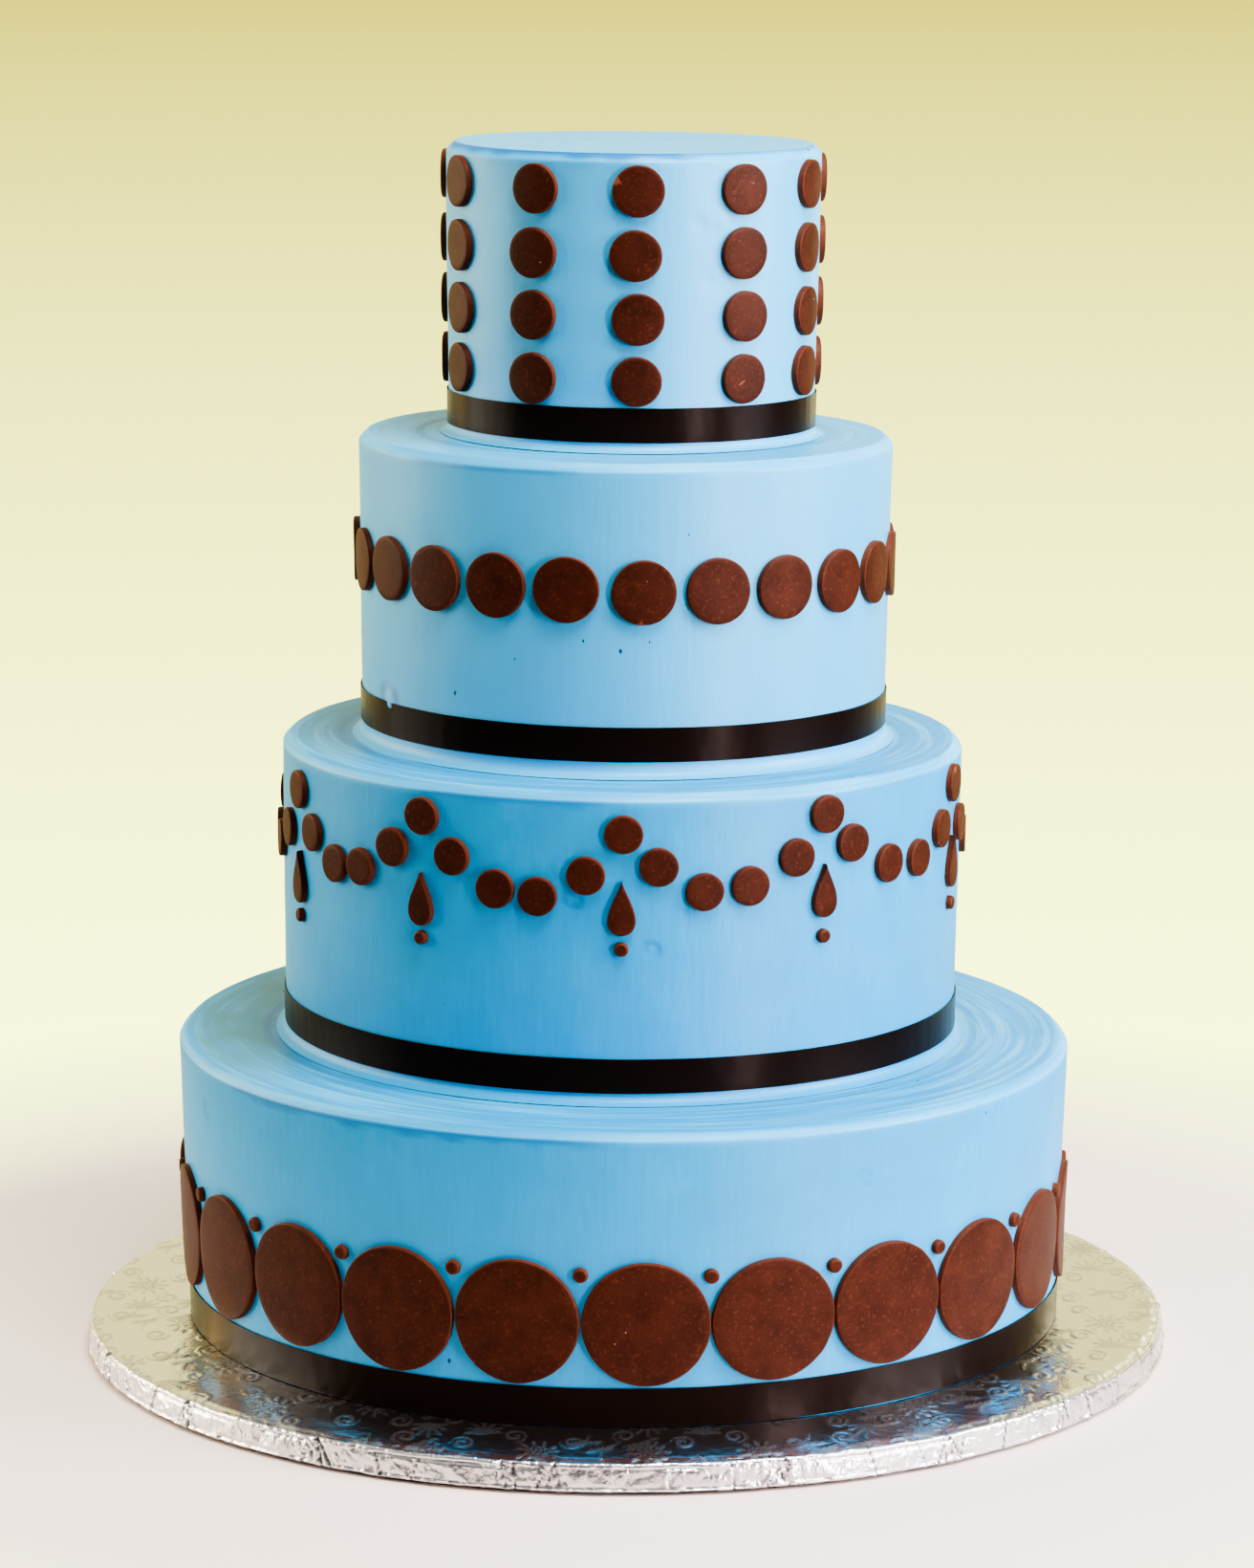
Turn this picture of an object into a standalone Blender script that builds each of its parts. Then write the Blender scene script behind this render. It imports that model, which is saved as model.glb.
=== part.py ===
"""Four-tier wedding cake on its foil-covered drum board.

Metres, +Z up. The board stands on z = 0 with its centre on the Z axis, and the front of the cake faces -Y.
Angles round a tier are measured from the front, positive towards +X.
"""

import math
import random

import bmesh
import bpy
from mathutils import Vector

# Board
BOARD_RADIUS = 0.2542
BOARD_BULGE = 0.0016
BOARD_THICKNESS = 0.0151
BOARD_EDGE_ROUND = 0.0020
BOARD_STEPS = 60

# Tiers, from the board up. Heights run from the tier's own base.
RIM_BEVEL = 0.0038
TOUCH_GAP = 0.0003
LEAN = math.radians(0.57)
NOD = math.radians(0.20)
TIERS = {
    "bottom_tier": {"foot": 0.2055, "rim": 0.2098, "height": 0.1342, "cove": 0.0015, "shift": -0.0012, "steps": 64},
    "third_tier": {"foot": 0.1575, "rim": 0.1590, "height": 0.1404, "cove": 0.0050, "shift": -0.0030, "steps": 60},
    "second_tier": {"foot": 0.1218, "rim": 0.1239, "height": 0.1410, "cove": 0.0050, "shift": -0.0028, "steps": 52},
    "top_tier": {"foot": 0.0846, "rim": 0.0863, "height": 0.1334, "cove": 0.0040, "shift": -0.0004, "steps": 44},
}

# Satin ribbon round the foot of each tier, 5/8 inch wide
RIBBON_WIDTH = 0.0156
RIBBON_THICKNESS = 0.0005
RIBBON_LIFT = {"bottom_tier": 0.0022, "third_tier": 0.0050, "second_tier": 0.0073, "top_tier": 0.0044}

# Chocolate pieces
CHOCOLATE_THICKNESS = 0.0030
CHOCOLATE_SINK = 0.0012
BIG_DISC = {"radius": 0.0282, "height": 0.0475, "count": 22, "first": 2.8, "crowding": -1.9, "sides": 22}
BEAD = {"radius": 0.0034, "height": 0.0692, "sides": 6}
MIDDLE_DISC = {"radius": 0.0147, "height": 0.0842, "count": 23, "first": 3.9, "crowding": 0.5, "sides": 14}
MIDDLE_DROOP = 0.0009
SMALL_DISC = {"radius": 0.0114, "sides": 12}
SMALL_DISC_ROWS = (0.0322, 0.0598, 0.0880, 0.1172)
SMALL_DISC_COLUMNS = (-98.0, -65.6, -30.8, 1.1, 35.2, 66.4, 99.5, 132.0, 164.5, 197.0, 229.5)
SWAG_DISC = {"radius": 0.0087, "sides": 10}
SWAG_CENTRES = (-102.3, -67.4, -34.0, 0.1, 34.6, 72.2, 109.3, 146.4, 183.5, 220.6)
SWAG_ACROSS = 0.0156
SWAG_SAG = 0.0115
SWAG_HEIGHTS = {"top": 0.1246, "left": 0.1070, "right": 0.1080, "drop": 0.0882, "bead": 0.0693}
# The motifs at the front sit a little unevenly.
SWAG_HEIGHTS_BY_HAND = {
    -67.4: {"top": 0.1224, "left": 0.1031, "right": 0.1053, "drop": 0.0822, "bead": 0.0642},
    -34.0: {"top": 0.1244, "left": 0.1090, "right": 0.1086, "drop": 0.0871, "bead": 0.0695},
    0.1: {"top": 0.1223, "left": 0.1040, "right": 0.1077, "drop": 0.0891, "bead": 0.0707},
    34.6: {"top": 0.1273, "left": 0.1095, "right": 0.1131, "drop": 0.0925, "bead": 0.0718},
    72.2: {"top": 0.1267, "left": 0.1085, "right": 0.1063, "drop": 0.0900, "bead": 0.0704},
}
DROP = {"width": 0.0123, "length": 0.0243, "sides": 10}
DROP_BEAD = {"radius": 0.0032, "sides": 6}

COLOURS = {
    "blue_icing": ((0.26, 0.55, 0.74), 0.55, 0.0),
    "chocolate": ((0.075, 0.022, 0.012), 0.45, 0.0),
    "satin_ribbon": ((0.018, 0.008, 0.006), 0.32, 0.0),
    "silver_foil": ((0.80, 0.80, 0.79), 0.22, 1.0),
}

hand = random.Random(26)


def clear_scene():
    for obj in list(bpy.data.objects):
        bpy.data.objects.remove(obj, do_unlink=True)


def material(name):
    found = bpy.data.materials.get(name)
    if found:
        return found
    colour, roughness, metallic = COLOURS[name]
    made = bpy.data.materials.new(name)
    made.use_nodes = True
    shader = made.node_tree.nodes["Principled BSDF"]
    shader.inputs["Base Color"].default_value = (*colour, 1.0)
    shader.inputs["Roughness"].default_value = roughness
    shader.inputs["Metallic"].default_value = metallic
    return made


def new_collection(name, parent):
    made = bpy.data.collections.new(name)
    parent.children.link(made)
    return made


def add_object(name, mesh, collection, finish, parent=None):
    obj = bpy.data.objects.new(name, mesh)
    collection.objects.link(obj)
    obj.data.materials.append(material(finish))
    obj.parent = parent
    return obj


def turned(name, profile, steps, collection, finish, parent=None):
    """A profile of (radius, height) points, listed from the top down the outer side, swept round Z."""
    mesh = bpy.data.meshes.new(name)
    bm = bmesh.new()
    corners = [bm.verts.new((radius, 0.0, height)) for radius, height in profile]
    closed = profile[0][0] > 0.0
    for start, end in zip(corners, corners[1:] + corners[:1] * closed):
        bm.edges.new((start, end))
    bm.to_mesh(mesh)
    bm.free()
    obj = add_object(name, mesh, collection, finish, parent)
    sweep = obj.modifiers.new("Sweep", "SCREW")
    sweep.steps = sweep.render_steps = steps
    sweep.use_merge_vertices = True
    sweep.merge_threshold = 0.00001
    sweep.use_smooth_shade = False
    return obj


def wall_radius(tier, height):
    size = TIERS[tier]
    return size["foot"] + (size["rim"] - size["foot"]) * height / size["height"]


def tier_profile(tier):
    """Flat top, bevelled rim, a wall that leans out a little, and a small cove of icing at the foot."""
    size = TIERS[tier]
    height, cove = size["height"], size["cove"]
    points = [(0.0, height), (size["rim"] - RIM_BEVEL, height), (size["rim"], height - RIM_BEVEL)]
    foot = wall_radius(tier, cove)
    for turn in (0, 45):
        angle = math.radians(turn)
        points.append((foot + cove * (1 - math.cos(angle)), cove * (1 - math.sin(angle)) + 0.0002))
    points += [(foot + cove, 0.0), (0.0, 0.0)]
    return points


def settle(mesh, tier):
    """The bottom tier stands level, but its top slopes as the tiers above it lean to the right and nod forward."""
    if tier != "bottom_tier":
        return
    height = TIERS[tier]["height"]
    for vertex in mesh.vertices:
        across, depth, up = vertex.co
        vertex.co.z += (math.tan(NOD) * depth - math.tan(LEAN) * across) * up / height


def apply_modifiers(obj):
    bpy.context.view_layer.update()
    graph = bpy.context.evaluated_depsgraph_get()
    mesh = bpy.data.meshes.new_from_object(obj.evaluated_get(graph))
    obj.modifiers.clear()
    obj.data = mesh


def wrap_on_wall(bm, tier, angle, height, sink):
    """Bends a flat piece, drawn in X and Y with its thickness along Z, round the wall of a tier."""
    turn = math.radians(angle)
    around = wall_radius(tier, height)
    for vertex in bm.verts:
        across, up, out = vertex.co
        radius = wall_radius(tier, height + up) + out - sink
        spot = turn + across / around
        vertex.co = Vector((radius * math.sin(spot), -radius * math.cos(spot), height + up))


def cut_piece(outline, sides, thickness):
    """A flat piece with straight sides, cut into upright strips so that it can bend round a wall."""
    bm = bmesh.new()
    bmesh.ops.create_circle(bm, cap_ends=True, radius=1.0, segments=sides)
    rim = sorted(bm.verts, key=lambda vertex: math.atan2(vertex.co.x, vertex.co.y) % math.tau)
    half = sides // 2
    for place in range(half // 2):
        for upper, lower in {(place, half - place), ((sides - place) % sides, half + place)}:
            shared = [face for face in rim[upper].link_faces if rim[lower] in face.verts]
            bmesh.utils.face_split(shared[0], rim[upper], rim[lower])
    for vertex in bm.verts:
        vertex.co.xy = outline(math.atan2(vertex.co.x, vertex.co.y))
    back = list(bm.faces)
    grown = bmesh.ops.extrude_face_region(bm, geom=back)
    front = [item for item in grown["geom"] if isinstance(item, bmesh.types.BMVert)]
    bmesh.ops.translate(bm, verts=front, vec=(0.0, 0.0, thickness))
    bmesh.ops.recalc_face_normals(bm, faces=bm.faces)
    return bm


def uneven_circle(radius):
    """A hand-cut circle: slightly oval and a little lumpy."""
    oval, oval_turn = hand.uniform(0.002, 0.010), hand.uniform(0.0, math.pi)
    lump, lump_turn = hand.uniform(0.0, 0.004), hand.uniform(0.0, math.tau)

    def outline(angle):
        reach = radius * (1 + oval * math.cos(2 * (angle - oval_turn)) + lump * math.cos(3 * angle - lump_turn))
        return reach * math.sin(angle), reach * math.cos(angle)

    return outline


def teardrop(width, length):
    """Pointed at the top and round at the bottom."""

    def outline(angle):
        return 0.42 * width * math.sin(angle) * (1 - math.cos(angle)) ** 0.8, 0.5 * length * math.cos(angle)

    return outline


def chocolate(name, tier, outline, sides, angle, height, collection, parent, sink=-TOUCH_GAP):
    bm = cut_piece(outline, sides, CHOCOLATE_THICKNESS + max(0.0, sink))
    wrap_on_wall(bm, tier, angle, height, sink)
    mesh = bpy.data.meshes.new(name)
    bm.to_mesh(mesh)
    bm.free()
    settle(mesh, tier)
    return add_object(name, mesh, collection, "chocolate", parent)


def spread_angles(row):
    """Places round the tier, a little closer or wider at the front than at the back."""
    for index in range(row["count"]):
        turn = index * math.tau / row["count"]
        yield row["first"] + math.degrees(turn) + row["crowding"] * math.sin(turn)


def big_discs(cake, stands):
    """The bottom tier's ring of large discs, each its own piece."""
    for index, angle in enumerate(spread_angles(BIG_DISC)):
        radius = BIG_DISC["radius"] + hand.uniform(-0.0002, 0.0002)
        height = BIG_DISC["height"] + hand.uniform(-0.0002, 0.0008)
        chocolate(f"big_disc_{index + 1:02d}", "bottom_tier", uneven_circle(radius), BIG_DISC["sides"],
                  angle, height, cake, stands["bottom_tier"])


def middle_discs(cake, stands):
    """The second tier's belt of discs, each its own piece."""
    for index, angle in enumerate(spread_angles(MIDDLE_DISC)):
        radius = MIDDLE_DISC["radius"] + hand.uniform(-0.0003, 0.0003)
        droop = MIDDLE_DROOP * math.sin(math.radians(angle))
        height = MIDDLE_DISC["height"] - droop + hand.uniform(-0.0005, 0.0005)
        chocolate(f"middle_disc_{index + 1:02d}", "second_tier", uneven_circle(radius), MIDDLE_DISC["sides"],
                  angle + hand.uniform(-0.3, 0.3), height, cake, stands["second_tier"])


def beads(toppings, stands):
    """A small bead of chocolate over each gap between the large discs."""
    angles = list(spread_angles(BIG_DISC))
    for index, (left, right) in enumerate(zip(angles, angles[1:] + [angles[0] + 360])):
        chocolate(f"bead_{index}", "bottom_tier", uneven_circle(BEAD["radius"]), BEAD["sides"], (left + right) / 2,
                  BEAD["height"] + hand.uniform(-0.0008, 0.0008), toppings, stands["bottom_tier"], CHOCOLATE_SINK)


def small_discs(toppings, stands):
    """Columns of four discs up the top tier."""
    for column in SMALL_DISC_COLUMNS:
        for row in SMALL_DISC_ROWS:
            radius = SMALL_DISC["radius"] + hand.uniform(-0.0003, 0.0003)
            chocolate("small_disc", "top_tier", uneven_circle(radius), SMALL_DISC["sides"],
                      column + hand.uniform(-0.6, 0.6), row + hand.uniform(-0.0003, 0.0008),
                      toppings, stands["top_tier"], CHOCOLATE_SINK)


def swag_heights(centre):
    return SWAG_HEIGHTS_BY_HAND.get(centre, SWAG_HEIGHTS)


def swag_places():
    """(angle, height) of each disc in the third tier's swags: a triangle at each centre, two lower ones between."""
    side = math.degrees(SWAG_ACROSS / TIERS["third_tier"]["foot"])
    following = SWAG_CENTRES[1:] + (SWAG_CENTRES[0] + 360,)
    for centre, next_centre in zip(SWAG_CENTRES, following):
        here, there = swag_heights(centre), swag_heights(next_centre)
        yield centre, here["top"]
        yield centre - side, here["left"]
        yield centre + side, here["right"]
        start, end = centre + side, next_centre - side
        for share in (1 / 3, 2 / 3):
            height = here["right"] + (there["left"] - here["right"]) * share
            yield start + (end - start) * share, height - SWAG_SAG


def swags(toppings, stands):
    """The third tier's swags of discs, with a teardrop and a bead hanging under each centre."""
    stand = stands["third_tier"]
    for angle, height in swag_places():
        radius = SWAG_DISC["radius"] + hand.uniform(-0.0002, 0.0002)
        chocolate("swag_disc", "third_tier", uneven_circle(radius), SWAG_DISC["sides"],
                  angle + hand.uniform(-0.3, 0.3), height + hand.uniform(-0.0006, 0.0006),
                  toppings, stand, CHOCOLATE_SINK)
    for centre in SWAG_CENTRES:
        heights = swag_heights(centre)
        chocolate("drop", "third_tier", teardrop(DROP["width"], DROP["length"]), DROP["sides"],
                  centre, heights["drop"], toppings, stand, CHOCOLATE_SINK)
        chocolate("drop_bead", "third_tier", uneven_circle(DROP_BEAD["radius"]), DROP_BEAD["sides"],
                  centre, heights["bead"], toppings, stand, CHOCOLATE_SINK)


def stand_for(tier, base, parent):
    """An empty at the tier's base: the tier and all that is on it hang from it."""
    stand = bpy.data.objects.new(f"{tier}_stand", None)
    bpy.context.scene.collection.objects.link(stand)
    stand.parent = parent
    stand.location = (TIERS[tier]["shift"], 0.0, base)
    return stand


def stack_tiers():
    """The bottom tier stands on the board, and the other three lean together on its top."""
    base = BOARD_THICKNESS + TOUCH_GAP
    stands = {"bottom_tier": stand_for("bottom_tier", base, None)}
    stack = bpy.data.objects.new("stack", None)
    bpy.context.scene.collection.objects.link(stack)
    stack.location.z = base + TIERS["bottom_tier"]["height"]
    stack.rotation_euler = (NOD, LEAN, 0.0)
    height = TOUCH_GAP
    for tier in ("third_tier", "second_tier", "top_tier"):
        stands[tier] = stand_for(tier, height, stack)
        height += TIERS[tier]["height"] + TOUCH_GAP
    return stands


def make_board(cake):
    """A drum board whose foil rounds the edges and bulges a little towards the foot."""
    top, edge = BOARD_THICKNESS, BOARD_EDGE_ROUND
    corner = [(edge * (math.sin(turn) - 1), edge * (1 - math.cos(turn))) for turn in (0.0, math.pi / 4, math.pi / 2)]
    upper = [(BOARD_RADIUS + reach, top - drop) for reach, drop in corner]
    lower = [(BOARD_RADIUS + BOARD_BULGE + reach, drop) for reach, drop in reversed(corner)]
    turned("board", [(0.0, top), *upper, *lower, (0.0, 0.0)], BOARD_STEPS, cake, "silver_foil")


def make_tier(tier, cake, stand):
    obj = turned(tier, tier_profile(tier), TIERS[tier]["steps"], cake, "blue_icing", stand)
    apply_modifiers(obj)
    settle(obj.data, tier)
    return obj


def make_ribbon(tier, cake, stand):
    low = RIBBON_LIFT[tier]
    high = low + RIBBON_WIDTH
    inner_low, inner_high = (wall_radius(tier, height) + TOUCH_GAP for height in (low, high))
    profile = [(inner_high, high), (inner_high + RIBBON_THICKNESS, high),
               (inner_low + RIBBON_THICKNESS, low), (inner_low, low)]
    obj = turned(tier.replace("tier", "ribbon"), profile, TIERS[tier]["steps"], cake, "satin_ribbon", stand)
    apply_modifiers(obj)
    settle(obj.data, tier)


def fuse(tier_object, toppings):
    """Joins the small chocolate pieces to their tier as one solid."""
    bpy.context.view_layer.update()
    union = tier_object.modifiers.new("Fuse", "BOOLEAN")
    union.operation = "UNION"
    union.operand_type = "COLLECTION"
    union.collection = toppings
    union.solver = "EXACT"
    apply_modifiers(tier_object)
    for piece in list(toppings.objects):
        bpy.data.objects.remove(piece, do_unlink=True)
    bpy.data.collections.remove(toppings)


def main():
    clear_scene()
    root = bpy.context.scene.collection
    cake = new_collection("wedding_cake", root)
    stands = stack_tiers()
    make_board(cake)
    tiers = {tier: make_tier(tier, cake, stands[tier]) for tier in TIERS}
    for tier in TIERS:
        make_ribbon(tier, cake, stands[tier])
    big_discs(cake, stands)
    middle_discs(cake, stands)
    for tier, add in (("bottom_tier", beads), ("third_tier", swags), ("top_tier", small_discs)):
        toppings = new_collection(f"{tier}_toppings", root)
        add(toppings, stands)
        fuse(tiers[tier], toppings)


main()
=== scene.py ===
import math
import random

import bmesh
import bpy
from mathutils import Euler, Matrix, Vector, kdtree, noise


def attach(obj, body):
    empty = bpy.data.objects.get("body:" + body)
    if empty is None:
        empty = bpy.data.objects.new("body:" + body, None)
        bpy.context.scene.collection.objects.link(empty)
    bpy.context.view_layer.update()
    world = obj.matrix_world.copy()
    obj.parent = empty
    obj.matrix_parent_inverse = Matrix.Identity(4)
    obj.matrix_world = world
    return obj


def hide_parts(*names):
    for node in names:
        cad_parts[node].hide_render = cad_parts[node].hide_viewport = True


# Wedding cake: four iced tiers with chocolate discs and satin ribbons, on a foil board.
# Metres, +Z up, front towards -Y. Angles round a tier run from the front towards +X.

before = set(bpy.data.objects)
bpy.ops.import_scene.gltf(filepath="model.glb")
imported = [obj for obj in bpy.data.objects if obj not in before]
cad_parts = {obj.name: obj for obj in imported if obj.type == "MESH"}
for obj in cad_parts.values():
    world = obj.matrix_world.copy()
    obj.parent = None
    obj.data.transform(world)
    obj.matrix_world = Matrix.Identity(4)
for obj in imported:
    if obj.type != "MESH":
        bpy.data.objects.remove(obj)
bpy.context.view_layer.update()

hand = random.Random(26)  # the solids draw from the same seed, in the same order
touchGap = 0.0003
lean = math.radians(0.57)
nod = math.radians(0.20)


# Working habits shared by all pieces

def deselectAll():
    if bpy.context.object and bpy.context.object.mode != "OBJECT":
        bpy.ops.object.mode_set(mode="OBJECT")
    bpy.ops.object.select_all(action="DESELECT")


def startPiece(name):
    piece = bpy.context.object
    piece.name = name
    piece.data.name = name
    bpy.ops.object.transform_apply(location=True, rotation=True, scale=True)
    bpy.ops.object.mode_set(mode="EDIT")
    return piece


def pick(kind, test):
    # selects only the verts, edges or faces that pass the test
    bpy.ops.mesh.select_mode(type=kind)
    bpy.ops.mesh.select_all(action="DESELECT")
    mesh = bpy.context.object.data
    editMesh = bmesh.from_edit_mesh(mesh)
    for item in {"VERT": editMesh.verts, "EDGE": editMesh.edges, "FACE": editMesh.faces}[kind]:
        if test(item):
            item.select_set(True)
    bmesh.update_edit_mesh(mesh)


def isFlat(edge, height):
    return all(abs(vert.co.z - height) < 0.00002 for vert in edge.verts)


def finishPiece(piece, finish, *replaced, smooth=35):
    if piece.mode != "OBJECT":
        bpy.ops.object.mode_set(mode="OBJECT")
    deselectAll()
    piece.select_set(True)
    bpy.context.view_layer.objects.active = piece
    bpy.ops.object.shade_smooth_by_angle(angle=math.radians(smooth))
    piece.data.materials.clear()
    piece.data.materials.append(materials[finish])
    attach(piece, "root")
    if replaced:
        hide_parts(*replaced)


def joinPieces(pieces, name):
    deselectAll()
    for piece in pieces:
        piece.select_set(True)
    bpy.context.view_layer.objects.active = pieces[0]
    bpy.ops.object.join()
    pieces[0].name = name
    pieces[0].data.name = name
    return pieces[0]


def smoothStep(low, high, value):
    # 0 at low, 1 at high; low may be the larger
    share = min(1.0, max(0.0, (value - low) / (high - low)))
    return share * share * (3 - 2 * share)


def bell(value, middle, width):
    return math.exp(-((value - middle) / width) ** 2)


# Icing tiers, from the board up

rimBevel = 0.0038
tierSizes = {
    "bottom_tier": {"foot": 0.2055, "rim": 0.2098, "height": 0.1342, "cove": 0.0015, "shift": -0.0012,
                    "around": 640, "wallRows": 62, "topInner": 0.1480, "topRows": 36},
    "third_tier": {"foot": 0.1575, "rim": 0.1590, "height": 0.1404, "cove": 0.0050, "shift": -0.0030,
                   "around": 520, "wallRows": 64, "topInner": 0.1120, "topRows": 26},
    "second_tier": {"foot": 0.1218, "rim": 0.1239, "height": 0.1410, "cove": 0.0050, "shift": -0.0028,
                    "around": 440, "wallRows": 64, "topInner": 0.0760, "topRows": 26},
    "top_tier": {"foot": 0.0846, "rim": 0.0863, "height": 0.1334, "cove": 0.0040, "shift": -0.0004,
                 "around": 340, "wallRows": 62, "topInner": 0.0030, "topRows": 40},
}
icingUneven = {"swell": 0.00035, "lump": 0.00014, "streak": 0.00004, "ragged": 0.00022, "topSwell": 0.00040,
               "topStroke": 0.00012}
tierSeeds = {"bottom_tier": 3.1, "third_tier": 17.4, "second_tier": 29.8, "top_tier": 41.3}
rimLines = {  # deeper blue round the rim: first and last angle, width, strength, height over the wall's end
    "bottom_tier": ((-58, -3, 0.0032, 0.75, 0), (-88, -70, 0.0018, 0.45, 0)),
    "third_tier": ((-34, -2, 0.0024, 0.65, 0), (40, 62, 0.0014, 0.35, 0)),
    "second_tier": ((-50, -12, 0.0018, 0.55, 0),),
    "top_tier": ((-86, 18, 0.0030, 1.00, 0.0040), (14, 86, 0.0014, 0.65, 0.0040), (-70, 4, 0.0030, 0.25, 0)),
}
# painted light: the two upper tiers are painted paler to stand in for the extra light that reaches them
paintedLightByTier = {"bottom_tier": 0.0, "third_tier": 0.0, "second_tier": 0.42, "top_tier": 0.50}
# painted shade on the left of each top, strength per tier
paintedTopShadeStrength = {"bottom_tier": 1.0, "third_tier": 0.5, "second_tier": 0.35, "top_tier": 0.0}
# where the next tier sits, a painted highlight ring on the cove round its foot, a painted shade and
# reflection arc further out, and the ragged band near the rim
icingMarks = {"seat": 0.0095, "ring": 0.0045, "shadeAndReflectionArcOut": 0.0100, "shadeAndReflectionArc": 0.0030, "nearRim": 0.006}
smears = {  # where the spatula lifted the icing: angle, height, size, rise, deeper blue
    "second_tier": ((-61, 0.0225, 0.0095, 0.0011, 0.8), (-57, 0.0165, 0.0060, 0.0008, 0.6)),
    "third_tier": ((-9.4, 0.1060, 0.0060, 0.0008, 0.2), (-7.6, 0.0930, 0.0045, -0.0006, 0.5),
                   (3.4, 0.1150, 0.0050, 0.0007, 0.1), (5.2, 0.0710, 0.0040, -0.0008, 0.5)),
    "top_tier": ((20, 0.1010, 0.0055, -0.0007, 0.0), (27, 0.1030, 0.0040, 0.0006, 0.0),
                 (24, 0.0760, 0.0050, -0.0006, 0.0)),
    "bottom_tier": ((-66, 0.1120, 0.0050, -0.0005, 0.5), (31, 0.1080, 0.0040, -0.0004, 0.3)),
}


def wallRadius(tier, height):
    size = tierSizes[tier]
    return size["foot"] + (size["rim"] - size["foot"]) * height / size["height"]


def wallSwell(tier, angle, height):
    # slow waves of the icing, which ribbons and chocolate follow
    seed = tierSeeds[tier]
    return icingUneven["swell"] * noise.noise(Vector((2.2 * math.cos(angle), 2.2 * math.sin(angle),
                                                      seed + height * 14)))


def settle(tier, co):
    # the bottom tier's top slopes under the tiers that lean on it
    if tier == "bottom_tier":
        co.z += (math.tan(nod) * co.y - math.tan(lean) * co.x) * co.z / tierSizes[tier]["height"]
    return co


def standOf(tier):
    base = board["thickness"] + touchGap
    if tier == "bottom_tier":
        return Matrix.Translation((tierSizes[tier]["shift"], 0, base))
    stack = Matrix.Translation((0, 0, base + tierSizes["bottom_tier"]["height"]))
    stack = stack @ Euler((nod, lean, 0)).to_matrix().to_4x4()
    height = touchGap
    for other in ("third_tier", "second_tier", "top_tier"):
        if other == tier:
            break
        height += tierSizes[other]["height"] + touchGap
    return stack @ Matrix.Translation((tierSizes[tier]["shift"], 0, height))


def rimDeepness(tier, turn, height, radius, place):
    # ragged deeper-blue line along the rim, and patches hanging from it
    deep = 0.0
    height += max(0.0, tierSizes[tier]["rim"] - rimBevel - radius)
    for first, last, width, strength, lift in rimLines[tier]:
        top = tierSizes[tier]["height"] - rimBevel + lift
        along = smoothStep(first - 4, first + 4, turn) * (1 - smoothStep(last - 6, last + 6, turn))
        if along == 0:
            continue
        ragged = noise.noise(Vector((place.x * 70, place.y * 70, 5.0)))
        hang = width * (0.6 + 1.1 * max(0.0, ragged + 0.25))
        line = smoothStep(top - hang - 0.0012, top - hang * 0.4, height)
        line *= 1 - smoothStep(top, top + 0.0009, height)
        deep = max(deep, along * strength * line)
    return deep


def smearOf(tier, turn, height, place):
    # small lumps and dents left by the spatula and by fingers: rise and share of deeper blue
    rise, deep = 0.0, 0.0
    for angle, up, size, lift, blue in smears[tier]:
        across = math.radians(turn - angle) * tierSizes[tier]["rim"]
        if abs(across) > 2.2 * size or abs(height - up) > 2.2 * size:
            continue
        wobble = 0.35 * noise.noise(place * 190)
        reach = math.hypot(across + 0.35 * (height - up), height - up) / size + wobble
        share = math.exp(-2.2 * reach * reach)
        rise += lift * share * (0.6 + 0.5 * noise.noise(place * 300))
        deep = max(deep, blue * math.exp(-14 * (reach - 0.75) ** 2))
    return rise, deep


def paintedTopShade(tier, turn, radius, place):
    # painted shade, dark greenish blue, on the left of a top between the rim and the next tier, where the
    # tiers above keep the light off
    size = tierSizes[tier]
    side = smoothStep(-48, -76, turn) * smoothStep(-150, -118, turn)
    ring = smoothStep(size["topInner"] + 0.014, size["topInner"] + 0.022, radius)
    ring *= 1 - smoothStep(size["rim"] - 0.010, size["rim"] - 0.004, radius)
    cloud = 0.75 + 0.5 * noise.noise(Vector((place.x * 30, place.y * 30, radius * 60)))
    return paintedTopShadeStrength[tier] * side * ring * cloud


# shares of deeper blue, of painted light and of painted shade at one spot; the deeper blue holds painted
# shade and reflection too
def colourShares(tier, turn, height, radius, onTop, place):
    # shares of deeper, paler and greener icing at one spot
    size = tierSizes[tier]
    deep = rimDeepness(tier, turn, height, radius, place)
    # painted highlight: the slanted rim band painted paler, a little on the top tier
    band = bell(height, size["height"] - 0.6 * rimBevel, 0.45 * rimBevel) * (1 - onTop)
    if tier == "top_tier":
        return deep, max(0.32 * band, paintedLightByTier[tier]), 0.0
    seat = size["topInner"] + icingMarks["seat"]
    # painted shade and reflection: a dark arc on the top a little out from the next tier's foot, stronger on
    # the left
    shadeAndReflectionArc = onTop * bell(radius, seat + icingMarks["shadeAndReflectionArcOut"], icingMarks["shadeAndReflectionArc"])
    shadeAndReflectionArc *= 0.35 + 0.65 * smoothStep(-20, -80, turn)
    # painted highlight: a pale ring on the cove round the next tier's foot
    ring = onTop * bell(radius, seat, icingMarks["ring"])
    pale = max(0.8 * band, ring, paintedLightByTier[tier])
    return max(deep, 0.75 * shadeAndReflectionArc), pale, onTop * paintedTopShade(tier, turn, radius, place)


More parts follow.
